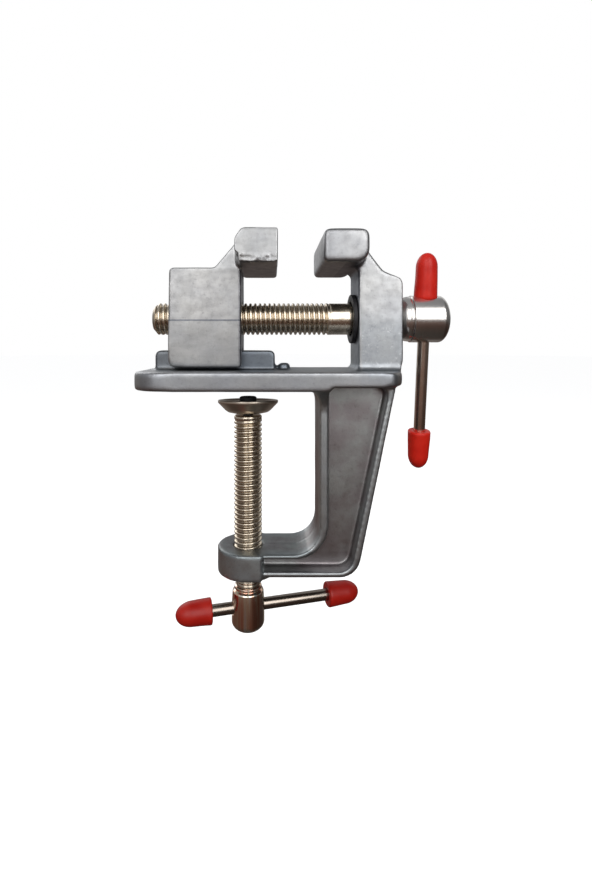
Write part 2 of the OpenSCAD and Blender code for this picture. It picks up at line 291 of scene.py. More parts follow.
class Nodes:
    """A node tree with short ways to add to it."""

    def __init__(self, tree):
        self.tree = tree

    def feed(self, socket, value):
        """Links an output to the socket, or sets the socket to a number or a colour."""
        if isinstance(value, bpy.types.NodeSocket):
            self.tree.links.new(value, socket)
        elif socket.type == "RGBA":
            socket.default_value = (*value, 1)
        else:
            socket.default_value = value

    def new(self, kind, **inputs):
        node = self.tree.nodes.new("ShaderNode" + kind)
        for name, value in inputs.items():
            self.feed(node.inputs[name.replace("_", " ")], value)
        return node

    def xyz(self, vector):
        return self.new("SeparateXYZ", Vector=vector).outputs[:3]

    def ramp(self, value, stops):
        """stops are (place, value or colour)."""
        node = self.new("ValToRGB", Fac=value)
        elements = node.color_ramp.elements
        while len(elements) < len(stops):
            elements.new(0.5)
        for element, (place, colour) in zip(elements, stops):
            element.position = place
            element.color = (*(colour if isinstance(colour, tuple) else (colour,) * 3), 1)
        return node.outputs["Color"]

    def mix(self, kind, amount, a, b):
        node = self.new("Mix")
        node.data_type = "RGBA"
        node.blend_type = kind
        colours = [socket for socket in node.inputs if socket.type == "RGBA"]
        for socket, value in zip([node.inputs[0], *colours], [amount, a, b]):
            self.feed(socket, value)
        return next(socket for socket in node.outputs if socket.type == "RGBA")

    def math(self, operation, a, b=0.0):
        node = self.new("Math")
        node.operation = operation
        self.feed(node.inputs[0], a)
        self.feed(node.inputs[1], b)
        return node.outputs[0]

    def both(self, *amounts):
        """The product of the amounts."""
        product = amounts[0]
        for amount in amounts[1:]:
            product = self.math("MULTIPLY", product, amount)
        return product

    def between(self, value, start, end, at_start=0.0, at_end=1.0):
        """Runs evenly from one level to the other as the value goes from start to end, and no further."""
        limits = {"From_Min": start, "From_Max": end, "To_Min": at_start, "To_Max": at_end}
        return self.new("MapRange", Value=value, **limits).outputs[0]

    def below(self, value, full_mm, none_mm):
        """1 where the value is below full_mm, falling to 0 at none_mm."""
        return self.between(value, full_mm * MM, none_mm * MM, 1.0, 0.0)

    def above(self, value, none_mm, full_mm):
        """1 where the value is above full_mm, falling to 0 at none_mm."""
        return self.between(value, none_mm * MM, full_mm * MM)

    def within(self, value, low_mm, high_mm, soft_mm):
        """1 where the value lies between two places, falling to 0 outside them."""
        rise = self.above(value, low_mm - soft_mm, low_mm)
        return self.both(rise, self.below(value, high_mm, high_mm + soft_mm))


class Surface(Nodes):
    """A material's nodes. All its patterns lie in the object's own coordinates."""

    def __init__(self, name):
        self.material = bpy.data.materials.new(name)
        self.material.use_nodes = True
        super().__init__(self.material.node_tree)

    def place(self):
        return self.new("TexCoord").outputs["Object"]

    def set(self, **values):
        shader = self.tree.nodes["Principled BSDF"]
        for name, value in values.items():
            self.feed(shader.inputs[name.replace("_", " ")], value)

    def noise(self, size_mm, detail=4.0, rough=0.5, stretch=(1, 1, 1)):
        """Noise with lumps of about size_mm, stretched along X, Y and Z."""
        scale = [1 / (size_mm * MM * s) for s in stretch]
        place = self.new("Mapping", Vector=self.place(), Scale=scale).outputs["Vector"]
        return self.new("TexNoise", Vector=place, Scale=1.0, Detail=detail, Roughness=rough).outputs["Fac"]

    def attribute(self, name):
        node = self.new("Attribute")
        node.attribute_name = name
        return node.outputs["Fac"]

    def turning_marks(self, size_mm):
        """Noise along the piece's own axis."""
        node = self.new("TexNoise", Scale=1 / size_mm, Detail=3.0)
        node.noise_dimensions = "1D"
        self.feed(node.inputs["W"], self.attribute("axial"))
        return node.outputs["Fac"]

    def bump(self, *layers):
        """layers are (height, strength, distance in millimetres), coarsest first."""
        normal = None
        for height, strength, distance in layers:
            node = self.new("Bump", Height=height, Strength=strength, Distance=distance * MM)
            if normal is not None:
                self.feed(node.inputs["Normal"], normal)
            normal = node.outputs["Normal"]
        self.set(Normal=normal)


def blotches(n):
    """The coarsest pattern of a casting's skin."""
    return n.noise(9, detail=3, rough=0.55)


def frame_tints(n, colour):
    """Stains, scuffs, tone and painted shade on the C frame, each where it lies on the casting."""
    x, y, z = n.xyz(n.place())
    # painted shade and brown stain: the recessed web darker than the flanges, in blotches
    web = n.both(n.below(n.math("ABSOLUTE", y), 4.5, 7.5), n.below(z, -1, 1))
    web_stain_and_shade = n.mix("MIX", n.ramp(blotches(n), [(0.4, 0.0), (0.6, 1.0)]), (0.80, 0.70, 0.69), (0.90, 0.88, 0.86))
    # painted shade: the rail darker under the movable jaw and behind the base's top, and darker still at its
    # left end
    rail = n.both(n.within(z, 5.7, 12.2, 0.4), n.within(x, -16, 15, 8.0))
    rail_end = n.both(n.within(z, 6.2, 12.2, 0.4), n.below(x, -18, -14))
    near_middle = n.within(y, -14.5, 14.5, 1.5)
    # painted shade on the fixed jaw's inner wall between the jaws, and painted shadow under the fixed head
    post_wall_shade = n.both(n.within(z, 6.5, 35.0, 1.5), n.below(x, 33.9, 34.25), near_middle)
    under_head_shadow = n.both(n.within(z, 28.0, 36.6, 1.5), n.within(x, 29.0, 34.05, 0.3), near_middle)
    # painted shade on the fixed head's grip face; the fixed head is also darker over the jaws
    grip_shade = n.both(n.above(z, 36.5, 37.5), n.below(x, 22.7, 23.3))
    fixed_head = n.both(n.above(z, 36, 37), n.below(x, 35.5, 36.5))
    # painted shade: the fixed jaw's post darker and cooler towards its foot
    post_foot_shade = n.both(n.within(z, 6.5, 19.0, 5.0), n.above(x, 34.4, 35))
    # painted shade: the base's front face a little darker, and painted shadow on its top strip from under the
    # movable jaw to the right
    base_front_shade = n.both(n.within(z, -0.6, 5.0, 0.4), n.below(y, -15.5, -14.5))
    base_top_shadow = n.both(n.within(z, 5.3, 5.9, 0.2), n.within(x, -16, 60, 8.0))
    # painted shade: the lower arm's top darker inside the C, and the lower arm darker below it
    arm_top_shade = n.both(n.within(z, -50.3, -48.5, 0.4), n.below(x, 19, 22))
    arm = n.both(n.below(z, -50.9, -50.5), n.within(x, 5.6, 40, 1.0))
    hub = n.both(n.below(z, -50.5, -50.2), n.below(x, 5.0, 5.6))
    c_frame = n.below(z, -1.0, 0.0)
    tints = [
        (web, web_stain_and_shade), (rail, (0.64, 0.655, 0.68)), (rail_end, (0.60, 0.59, 0.59)),
        (post_wall_shade, (0.60, 0.65, 0.70)), (under_head_shadow, (0.42, 0.42, 0.46)),
        (grip_shade, (0.86, 0.86, 0.86)), (base_front_shade, (0.91, 0.925, 0.95)),
        (arm, (0.86, 0.85, 0.85)), (fixed_head, (0.86, 0.86, 0.87)), (post_foot_shade, (0.84, 0.87, 0.90)),
        (arm_top_shade, (0.62, 0.65, 0.66)), (base_top_shadow, (0.78, 0.79, 0.81)), (hub, (1.20, 1.27, 1.29)),
        (c_frame, (0.97, 1.01, 1.02)),
    ]
    for amount, tint in tints:
        colour = n.mix("MULTIPLY", amount, colour, tint)
    spots = n.ramp(n.noise(0.9, detail=5, rough=0.65), [(0.60, 0.0), (0.67, 0.55)])
    scuffs = n.both(spots, n.within(z, 6.5, 18, 4), n.above(x, 34, 35))
    return n.mix("MIX", scuffs, colour, (0.66, 0.67, 0.68))


def jaw_tints(n, colour):
    """The movable jaw's parting line, smears along it, painted shadow on its flank, painted shade on its upper
    body and painted light below the parting line.
    """
    x, _, z = n.xyz(n.place())
    off = n.math("ABSOLUTE", n.math("SUBTRACT", z, PARTING_Z * MM))
    colour = n.mix("MULTIPLY", n.below(off, 0.13, 0.24), colour, (0.42, 0.45, 0.52))
    smear = n.noise(1.5, detail=4, stretch=(4, 2, 1))
    colour = n.mix("MULTIPLY", 0.38, colour, n.ramp(smear, [(0.36, 0.78), (0.58, 1.0)]))
    # painted shadow of the screw on the body's flank
    flank_shadow = n.both(n.within(x, -2.3, 0.0, 0.4), n.below(z, 35, 36.5))
    colour = n.mix("MULTIPLY", flank_shadow, colour, (0.50, 0.50, 0.53))
    # painted shade on the upper body, and painted light below the parting line
    colour = n.mix("MULTIPLY", n.within(z, PARTING_Z + 0.6, 35.5, 1.5), colour, (0.88, 0.87, 0.86))
    return n.mix("MULTIPLY", n.below(z, PARTING_Z - 0.6, PARTING_Z - 0.3), colour, (1.08, 1.08, 1.07))


def cast_aluminium(name, own_tints):
    """Satin die-cast skin, with painted shade on the heads' top edges and undersides. own_tints adds the
    casting's own stains, tone and painted shade to the colour.
    """
    n = Surface(name)
    blotch = blotches(n)
    cloud = n.noise(2.6, detail=5, rough=0.6)
    pits = n.noise(1.0, detail=5, rough=0.65)
    grain = n.noise(0.32, detail=3, rough=0.6)
    colour = n.ramp(blotch, [(0.32, (0.415, 0.421, 0.433)), (0.68, (0.470, 0.470, 0.467))])
    colour = n.mix("MULTIPLY", 0.5, colour, n.ramp(cloud, [(0.36, 0.80), (0.6, 1.0)]))
    colour = n.mix("MULTIPLY", 0.5, colour, n.ramp(pits, [(0.33, 0.70), (0.45, 1.0)]))
    edge = n.ramp(n.new("NewGeometry").outputs["Pointiness"], [(0.51, 0.0), (0.57, 0.5)])
    colour = n.mix("MIX", edge, colour, (0.54, 0.54, 0.54))
    colour = own_tints(n, colour)
    x, _, z = n.xyz(n.place())
    # painted shade: the heads' top edges darker, and the heads' undersides darker
    colour = n.mix("MULTIPLY", n.above(z, 45.7, 46.3), colour, (0.68, 0.68, 0.68))
    heads_underside_shade = n.both(n.within(z, 36.2, 37.0, 0.3), n.within(x, -1.6, 33.4, 0.4))
    colour = n.mix("MULTIPLY", heads_underside_shade, colour, (0.66, 0.66, 0.66))
    n.set(Base_Color=colour, Roughness=n.ramp(cloud, [(0.3, 0.47), (0.7, 0.36)]), Metallic=1.0)
    n.bump((blotch, 0.30, 0.25), (cloud, 0.22, 0.10), (pits, 0.20, 0.04), (grain, 0.18, 0.025))
    return n.material


def nickel(name, tint, low, high, reflection_bands=None):
    """Nickel plate, low to high in roughness. reflection_bands tints upright bands on the piece, as painted
    reflections.
    """
    n = Surface(name)
    haze = n.noise(3.5, detail=4, rough=0.6)
    # darker towards the thread roots
    root_darkening = n.ramp(n.attribute("groove"), [(0.45, 0.0), (0.98, 0.55)])
    colour = n.mix("MULTIPLY", 0.35, tint, n.ramp(haze, [(0.3, 0.8), (0.65, 1.0)]))
    colour = n.mix("MIX", root_darkening, colour, (0.14, 0.105, 0.075))
    if reflection_bands:
        # painted reflections: light and dark bands up the piece
        upright = n.noise(1.9, detail=2, stretch=(1, 1, 30))
        colour = n.mix("MULTIPLY", 1.0, colour, n.ramp(upright, reflection_bands))
    n.set(Base_Color=colour, Roughness=n.ramp(haze, [(0.3, high), (0.7, low)]), Metallic=1.0)
    n.bump((haze, 0.03, 0.05), (n.turning_marks(0.12), 0.07, 0.02))
    return n.material


def red_vinyl(name, level):
    """Dipped vinyl, at a level of 1, or lower for a darker copy that is painted shade."""
    n = Surface(name)
    cloud = n.noise(4, detail=3)
    deep = tuple(level * c for c in (0.64, 0.014, 0.007))
    pale = tuple(level * c for c in (0.76, 0.025, 0.012))
    n.set(Base_Color=n.ramp(cloud, [(0.3, deep), (0.7, pale)]), Specular_IOR_Level=0.35)
    n.set(Roughness=n.ramp(cloud, [(0.3, 0.34), (0.7, 0.44)]))
    n.bump((cloud, 0.12, 0.15), (n.noise(0.5, detail=2), 0.10, 0.02))
    return n.material


def black_steel():
    n = Surface("black_steel")
    cloud = n.noise(1.5, detail=4)
    colour = n.ramp(cloud, [(0.35, (0.012, 0.012, 0.014)), (0.7, (0.035, 0.034, 0.036))])
    n.set(Base_Color=colour, Roughness=n.ramp(cloud, [(0.3, 0.5), (0.7, 0.65)]), Metallic=0.3)
    n.bump((cloud, 0.2, 0.03))
    return n.material


FRAME_CAST = cast_aluminium("cast_aluminium", frame_tints)
JAW_CAST = cast_aluminium("cast_aluminium_jaw", jaw_tints)
NICKEL = nickel("nickel_plate", (0.84, 0.735, 0.59), 0.22, 0.30)
BAR_NICKEL = nickel("bar_nickel", (0.95, 0.82, 0.70), 0.20, 0.26)
# painted shade: a darker copy of the nickel for the lower handle's bar
SHADED_NICKEL = nickel("nickel_painted_shade", (0.36, 0.31, 0.265), 0.22, 0.28)
PAD_NICKEL = nickel("pad_nickel", (0.68, 0.60, 0.50), 0.28, 0.36)
BRIGHT = nickel("bright_nickel", (0.86, 0.83, 0.80), 0.20, 0.27)
# painted reflections: light, reddish and dark bands on the clamp screw's head
REFLECTION_BANDS = [
    (0.36, (0.60, 0.62, 0.50)), (0.46, (0.95, 0.60, 0.50)),
    (0.54, (1.0, 0.95, 0.88)), (0.64, (1.9, 1.75, 1.55))]
REFLECTION_NICKEL = nickel("nickel_painted_reflections", (1.0, 0.90, 0.80), 0.16, 0.22, REFLECTION_BANDS)
VINYL = red_vinyl("red_vinyl", 1.0)
# painted shade: a darker copy of the vinyl for the lower handle's caps
SHADED_RED_VINYL = red_vinyl("red_vinyl_painted_shade", 0.62)
BLACK = black_steel()


# ---------------------------------------------------------------- castings


def casting(name, node, voxel_mm, smooth_steps):
    """The CAD solid as a casting: its edges and inner corners rounded over, its skin a little uneven."""
    piece = new_object(name, frame["nodes"][node].data.copy())
    remesh = piece.modifiers.new("skin", "REMESH")
    remesh.mode = "VOXEL"
    remesh.voxel_size = voxel_mm * MM
    remesh.use_smooth_shade = True
    smooth = piece.modifiers.new("rounding", "SMOOTH")
    smooth.factor = 0.5
    smooth.iterations = smooth_steps
    apply_modifiers(piece)
    return piece


def soften(piece, weights, steps):
    """More rounding where the weights, one for each vertex, are above 0."""
    group = piece.vertex_groups.new(name="soft")
    for i in np.nonzero(weights > 0.02)[0]:
        group.add([int(i)], float(weights[i]), "REPLACE")
    smooth = piece.modifiers.new("softer", "SMOOTH")
    smooth.vertex_group = group.name
    smooth.factor = 0.5
    smooth.iterations = steps
    apply_modifiers(piece)
    piece.vertex_groups.clear()


def unevenness(piece, height_mm, size_mm, seed):
    """Moves each vertex along its normal by smooth noise."""
    co = coordinates(piece)
    shift = Vector((seed, 2 * seed, 3 * seed))
    lift = [noise.noise(Vector(p) / (size_mm * MM) + shift) for p in co]
    set_coordinates(piece, co + vertex_rows(piece, "normal") * np.array(lift)[:, None] * height_mm * MM)


def hole_cutter(axis, radius, s0, s1, mouth, segments):
    """A round cutter from s0 to s1 and 2 mm beyond each, with a chamfer as deep as the mouth at each end."""
    wide = radius + 2 + mouth
    profile = [
        (s0 - 2, 0), (s0 - 2, wide), (s0 + mouth, radius), (s1 - mouth, radius), (s1 + 2, wide), (s1 + 2, 0)]
    return turned("cutter", axis, profile, segments)


def bore_cutter(axis, radius, faces):
    """The cutter of a casting's bore between two faces."""
    return hole_cutter(axis, radius, *faces, 0.35, 96)


def smooth_step(x, a, b):
    """0 at a, rising smoothly to 1 at b, for arrays."""
    t = np.clip((x - a) / (b - a), 0, 1)
    return t * t * (3 - 2 * t)


def wobble(points_mm, size_mm, seed):
    """Smooth noise at each point, about -1 to 1."""
    shift = Vector((seed, 2.3 * seed, 3.1 * seed))
    return np.array([noise.noise(Vector(p) / size_mm + shift) for p in points_mm])


def parting_ridge(piece):
    """The mould's parting line, a low ridge along the middle of the C frame."""
    height, middle, width = 0.14, 0.4, 0.42
    co = coordinates(piece)
    normals = vertex_rows(piece, "normal")
    _, y, z = (co / MM).T
    side = 1 - smooth_step(np.abs(normals[:, 1]), 0.3, 0.7)
    lift = height * np.exp(-((y - middle) / width) ** 2) * side * smooth_step(-z, 2, 5)
    set_coordinates(piece, co + normals * lift[:, None] * MM)


def casting_flash(piece):
    """Ragged metal along the movable head's lower front edge, and a chipped lower corner."""
    co = coordinates(piece)
    x, y, z = (co / MM).T
    rough = wobble(co / MM, 1.3, 11)
    fine = wobble(co / MM, 0.9, 23)
    chip = smooth_step(-z, -40.2, -39.2) * smooth_step(z, 36, 36.4) * smooth_step(-y, 10.5, 13)
    chipped_back_to = -1.75 + 0.35 * rough
    x = np.where(x < chipped_back_to, x + (chipped_back_to - x) * chip, x)
    edge = smooth_step(-y, 14.5, 16.3) * smooth_step(-z, -39.8, -38.0)
    edge = edge * smooth_step(z, 36.0, 36.6) * smooth_step(x, -2.2, -0.8)
    z = z - edge * (0.28 * rough + 0.22 * fine + 0.05)
    y = y - edge * (0.30 * wobble(co / MM, 1.7, 31) + 0.12 * fine)
    lump = np.exp(-((x + 1.0) / 0.75) ** 2 - ((z - 38.9) / 1.1) ** 2) * smooth_step(-y, 15.8, 16.6)
    y = y - 0.32 * lump
    set_coordinates(piece, np.stack([x, y, z], axis=1) * MM)


def make_frame():
    piece = casting("frame_casting_body", "frame_casting", 0.42, 8)
    x, _, z = (coordinates(piece) / MM).T
    fixed_head = smooth_step(z, 36.2, 37.4) * smooth_step(-x, -36.5, -35)
    base_left = smooth_step(-x, 20, 26) * smooth_step(-z, -7.0, -6.2)
    base_right = smooth_step(x, 39, 42) * smooth_step(-z, -5.8, -5.3) * smooth_step(z, -0.5, 0.5)
    soften(piece, fixed_head, 40)
    soften(piece, base_left, 30)
    soften(piece, base_right, 40)
    unevenness(piece, 0.05, 7, 1)
    parting_ridge(piece)
    cut(piece, bore_cutter(MAIN_AXIS, MAIN_R + SLACK, POST_FACES))
    cut(piece, bore_cutter(CLAMP_AXIS, CLAMP_R + RUN + SLACK, ARM_FACES))
    shade(piece, 50)
    finish_piece(piece, "frame", "frame_casting", FRAME_CAST)


def make_movable_jaw():
    piece = casting("movable_jaw_body", "movable_jaw", 0.34, 8)
    x, _, z = (coordinates(piece) / MM).T
    lower_left = smooth_step(-x, 18, 21) * smooth_step(-z, -9.5, -7.5)
    soften(piece, lower_left, 40)
    unevenness(piece, 0.05, 6, 5)
    casting_flash(piece)
    cut(piece, bore_cutter(MAIN_AXIS, MAIN_R + RUN + SLACK, JAW_FACES))
    shade(piece, 50)
    finish_piece(piece, "movable_jaw", "movable_jaw", JAW_CAST)


make_frame()
make_movable_jaw()


# ---------------------------------------------------------------- screws


def mark_turned(piece, axis, thread=None):
    """Stores the place along the axis for turning marks, and the depth into the thread for darkening the
    thread roots.
    """
    s, r = axis.measure(coordinates(piece))
    set_attribute(piece, "axial", s)
    groove = np.zeros(len(s))
    if thread:
        s0, s1, radius, depth = thread
        groove = np.where((s > s0) & (s < s1), np.clip((radius - r) / depth, 0, 1), 0)
    set_attribute(piece, "groove", groove)


def cross_hole_cutter(axis, half_length):
    """The cutter of the hole for a bar, right through a screw's head."""
    return hole_cutter(axis, BAR_R + RUN, -half_length, half_length, 0.3, 64)


def add_plating(piece, material, is_head):
    """A second plating on the faces that is_head picks by their middles."""
    piece.data.materials.append(material)
    for face in piece.data.polygons:
        face.material_index = int(is_head(face.center / MM))


def make_main_screw():
    s0, s1 = SCREW[0].x, 26.0
    depth = 0.75
    end_r, end_slope = 3.5, 1.15
    run_out = 1.3 * PITCH

    def envelope(s):
        return end_r + (s - s0) * end_slope, max(0.0, min(1.0, (s1 - s) / run_out))

    shank = MAIN_R - RUN
    ring_x0, ring_x1 = RING[0].x - RUN, RING[1].x + RUN
    groove_r = 4
    profile = rounded([
        (s1, MAIN_R, 0), (s1 + 0.3, shank, 0), (29, shank, 0), (ring_x0, shank, 0.12), (ring_x0, groove_r, 0),
        (ring_x1, groove_r, 0), (ring_x1, shank, 0.12), (40, shank, 0), (47.3, shank, 0), (47.3, 5.3, 0)])
    collar_x, collar_w, collar_r, collar_bulge = 50.7, 3.3, 4.6, 2.5
    for a in np.linspace(0.28, math.pi / 2, 12):
        profile.append((collar_x - collar_w * math.cos(a), collar_r + collar_bulge * math.sin(a)))
    head, head_r = SCREW[1].x, (SCREW[1].y - SCREW[0].y) / 2
    profile += rounded([
        (collar_x, 7.1, 0), (50.95, 6.95, 0.08), (51.25, head_r, 0.12), (54, head_r, 0), (58, head_r, 0)])
    dome, flat = 3.0, 1.8
    for a in reversed(quarter(18)):
        profile.append((head - dome * (1 - math.cos(a)), flat + (head_r - flat) * math.sin(a)))
    profile.append((head, 0))

    bm = bmesh.new()
    add_turned(bm, MAIN_AXIS, [(s0, 0), (s0, 1.6), (s0, end_r)], 120)
    add_thread(bm, MAIN_AXIS, s0, s1, MAIN_R, depth, envelope, 120)
    add_turned(bm, MAIN_AXIS, profile, 120)
    weld(bm)
    piece = from_bmesh("main_screw_turned", bm)
    cut(piece, cross_hole_cutter(MAIN_BAR, 7.15))
    upper_cap_seat = [(6.05, 0), (6.05, 3.95), (9, 4.1), (9, 0)]
    cut(piece, turned("cutter", MAIN_BAR, upper_cap_seat, 96))
    mark_turned(piece, MAIN_AXIS, (s0, s1, MAIN_R, depth))
    shade(piece, 40)
    finish_piece(piece, "main_screw", "main_screw", NICKEL)
    add_plating(piece, BRIGHT, lambda middle: middle.x > MAIN_HEAD_FROM)


def make_clamp_screw():
    s0, s1 = -56.6, -9.6
    depth = 0.72
    neck = 3.74

    def envelope(s):
        return CLAMP_R, max(0.0, min(1.0, (s - s0) / PITCH, (s1 - s) / (1.6 * PITCH)))

    bottom, top = CLAMP[0].z, CLAMP[1].z
    head_r = (CLAMP[1].y - CLAMP[0].y) / 2
    dome, flat = 2.9, 1.0
    profile = [(bottom, 0)]
    for a in quarter(16):
        profile.append((bottom + dome * (1 - math.cos(a)), flat + (head_r - flat) * math.sin(a)))
    profile += rounded([
        (bottom + dome + 0.2, head_r, 0), (-71, head_r, 0), (-67, 5.1, 0), (-64.2, 4.9, 0.7),
        (-63.75, 4.35, 0.12), (-63.55, 4.1, 0.06), (-63.3, 4.35, 0.15), (-62.6, 4.25, 0.3),
        (-62.35, neck, 0.1), (-62.1, neck, 0)])
    neck_from, neck_step, neck_mark = -62.0, 0.54, 0.3
    for i in range(10):
        profile.append((neck_from + neck_step * i, neck - neck_mark * (i % 2)))
    profile.append((s0, neck))
    end = rounded([
        (s1, CLAMP_R, 0), (top - 0.25, 4.35, 0.15), (top, 4.1, 0.1), (top, 1.6, 0), (top, 0, 0)], 4)

    bm = bmesh.new()
    add_turned(bm, CLAMP_AXIS, profile, 112)
    add_turned(bm, CLAMP_AXIS, [(s0, neck), (s0, CLAMP_R)], 112)
    add_thread(bm, CLAMP_AXIS, s0, s1, CLAMP_R, depth, envelope, 112)
    add_turned(bm, CLAMP_AXIS, end, 112)
    weld(bm)
    piece = from_bmesh("clamp_screw_turned", bm)
    cut(piece, cross_hole_cutter(CLAMP_BAR, 4.95))
    mark_turned(piece, CLAMP_AXIS, (CLAMP_HEAD_TO, s1, CLAMP_R, depth))
    shade(piece, 40)
    finish_piece(piece, "clamp_screw", "clamp_screw", NICKEL)
    add_plating(piece, REFLECTION_NICKEL, lambda middle: middle.z < CLAMP_HEAD_TO)


make_main_screw()
make_clamp_screw()


# ---------------------------------------------------------------- retaining ring, pad and its screw


def make_ring():
    """An open ring with three inner fingers that reach into the screw's groove."""
    outer, inner, relief = 7.7, 4.05, 5.5
    mouth = math.radians(32)
    fingers = (mouth + 0.1, math.pi, 2 * math.pi - mouth - 0.1)
    finger_width = 0.24
    steps = 144
    bm = bmesh.new()
    sides = []
    for x in (RING[0].x, RING[1].x):
        rims = []
        for i in range(steps + 1):
            angle = mouth + (2 * math.pi - 2 * mouth) * i / steps
            finger = max(math.exp(-((angle - a) / finger_width) ** 4) for a in fingers)
            rim = relief + (inner - relief) * finger
            rims.append([bm.verts.new(MAIN_AXIS.point(x, r, angle)) for r in (rim, (rim + outer) / 2, outer)])
        sides.append(rims)
    left, right = sides
    for i in range(steps):
        for k in range(2):
            bm.faces.new([left[i][k], left[i + 1][k], left[i + 1][k + 1], left[i][k + 1]])
            bm.faces.new([right[i][k], right[i][k + 1], right[i + 1][k + 1], right[i + 1][k]])
        bm.faces.new([left[i][0], right[i][0], right[i + 1][0], left[i + 1][0]])
        bm.faces.new([left[i][2], left[i + 1][2], right[i + 1][2], right[i][2]])
    for i in (0, steps):
        for k in range(2):
            bm.faces.new([left[i][k], left[i][k + 1], right[i][k + 1], right[i][k]])
    bmesh.ops.recalc_face_normals(bm, faces=bm.faces)
    piece = from_bmesh("retaining_ring", bm)
    bevel = piece.modifiers.new("edges", "BEVEL")
    bevel.width = 0.14 * MM
    bevel.segments = 3
    bevel.limit_method = "ANGLE"
    bevel.angle_limit = math.radians(50)
    apply_modifiers(piece)
    mark_turned(piece, MAIN_AXIS)
    shade(piece, 50)
    finish_piece(piece, "main_screw", "screw_retaining_ring", BLACK)


def make_pad():
    """The dished pad, which hangs a little loose and so leans back on its screw."""
    foot, rim = PAD[0].z, PAD[1].z
    r = PAD[1].x
    hole_r, floor_z = 1.55, rim - 0.9
    bm = bmesh.new()
    add_turned(bm, CLAMP_AXIS, rounded([
        (foot, hole_r, 0), (foot, 4.2, 0.25), (foot + 0.45, 6.3, 1.2), (foot + 1.1, 7.2, 0.9),
        (rim - 0.85, r - 0.05, 0.3), (rim - 0.05, r, 0.25), (rim, r - 0.55, 0.1), (rim - 0.75, r - 2.0, 1.2),
        (floor_z, 3.0, 0), (floor_z, 1.6, 0), (foot, hole_r, 0)], 5), 160)
    weld(bm)
    piece = from_bmesh("clamp_pad_dish", bm)
    mark_turned(piece, CLAMP_AXIS)
    pivot = Vector((0, 0, foot + 0.2)) * MM
    lean = Matrix.Rotation(math.radians(-3.3), 4, "X")
    piece.data.transform(Matrix.Translation(pivot) @ lean @ Matrix.Translation(-pivot))
    shade(piece, 45)
    finish_piece(piece, "clamp_pad", "clamp_pad", PAD_NICKEL)


def slot_cutter(top, turn):
    """One stroke of the cross in the pad screw's head: long and wide at the top, short and narrow below."""
    bm = bmesh.new()
    bmesh.ops.create_cube(bm, size=1)
    for v in bm.verts:
        length, width, z = (2.2, 0.6, top - 1.0) if v.co.z < 0 else (5.0, 1.2, top + 0.2)
        v.co = Vector((v.co.x * length, v.co.y * width, z)) * MM
    bmesh.ops.rotate(bm, verts=bm.verts, cent=(0, 0, 0), matrix=Matrix.Rotation(math.radians(turn), 3, "Z"))
    return from_bmesh("cutter", bm)


def make_pad_screw():
    bottom, top = PAD_SCREW[0].z, PAD_SCREW[1].z
    head_bottom = PAD[1].z - 0.8
    shank, head_r = 1.5, 2.7
    piece = turned("pad_screw_turned", CLAMP_AXIS, rounded([
        (bottom, 0, 0), (bottom, shank, 0.2), (head_bottom, shank, 0), (head_bottom, head_r, 0.15),
        (top - 0.3, head_r, 0.15), (top - 0.05, 2.35, 0.2), (top, 1.2, 0), (top, 0, 0)]), 96)
    for turn in (0, 90):
        cut(piece, slot_cutter(top, turn))
    mark_turned(piece, CLAMP_AXIS)
    shade(piece, 35)
    finish_piece(piece, "clamp_screw", "clamp_pad_screw", BLACK)


make_ring()
make_pad()
make_pad_screw()


# ---------------------------------------------------------------- handles


def make_bar(name, axis, body, node, down, up, material):
    """A round bar between two tips, with rounded ends."""
    tip_round = 0.4
    piece = turned(name, axis, rounded([
        (-down, 0, 0), (-down, BAR_R, tip_round), (-down / 2, BAR_R, 0), (0, BAR_R, 0), (up / 2, BAR_R, 0),
        (up, BAR_R, tip_round), (up, 0, 0)], 4), 64)
    mark_turned(piece, axis)
    shade(piece, 40)
    finish_piece(piece, body, node, material)


def make_cap(name, axis, body, node, tip, length, radius, material, seed):
    """A dipped vinyl cap with a long round nose, its open end towards the head."""
    nose = 0.66 * 2 * radius
    nose_r = 0.92 * radius
    hole_r = BAR_R - 0.03
    mouth = tip - length
    lip = mouth + 0.45
    straight = tip - nose
    profile = [
        (tip - CAP_END, 0), (tip - CAP_END, hole_r), (mouth + 0.25, hole_r), (mouth + 0.05, BAR_R + 0.15),
        (mouth, BAR_R + 0.4), (mouth, radius - 0.5), (mouth + 0.12, radius - 0.15), (lip, radius)]
    for share in np.linspace(0, 1, 13)[1:]:
        profile.append((lip + (straight - lip) * share, radius + (nose_r - radius) * share))
    for a in quarter(18)[1:-1]:
        profile.append((straight + nose * math.sin(a), nose_r * math.cos(a)))
    profile.append((tip, 0))
    piece = turned(name, axis, profile, 96)
    unevenness(piece, 0.10, 5, seed)
    mark_turned(piece, axis)
    shade(piece, 60)
    finish_piece(piece, body, node, material)


# how far the caps' tips reach from the heads' middles, and how thick a cap's end is
MAIN_UP, MAIN_DOWN = 20.7, 49.5
CLAMP_RIGHT, CLAMP_LEFT = 37.7, 22.7
CAP_END = 1.6
DOWN_AXIS = Axis(MAIN_BAR_AT, -MAIN_BAR_DIR)
LEFT_AXIS = Axis(CLAMP_BAR_AT, -CLAMP_BAR_DIR)
MAIN_HANDLE, CLAMP_HANDLE = "main_handle", "clamp_handle"
make_bar("main_bar", MAIN_BAR, MAIN_HANDLE, "main_handle_bar",
         MAIN_DOWN - CAP_END, MAIN_UP - CAP_END, BAR_NICKEL)
make_bar("clamp_bar", CLAMP_BAR, CLAMP_HANDLE, "clamp_handle_bar",
         CLAMP_LEFT - CAP_END, CLAMP_RIGHT - CAP_END, SHADED_NICKEL)
make_cap("main_cap_up", MAIN_BAR, MAIN_HANDLE, "main_handle_cap_upper", MAIN_UP, 14.5, 3.6, VINYL, 1)
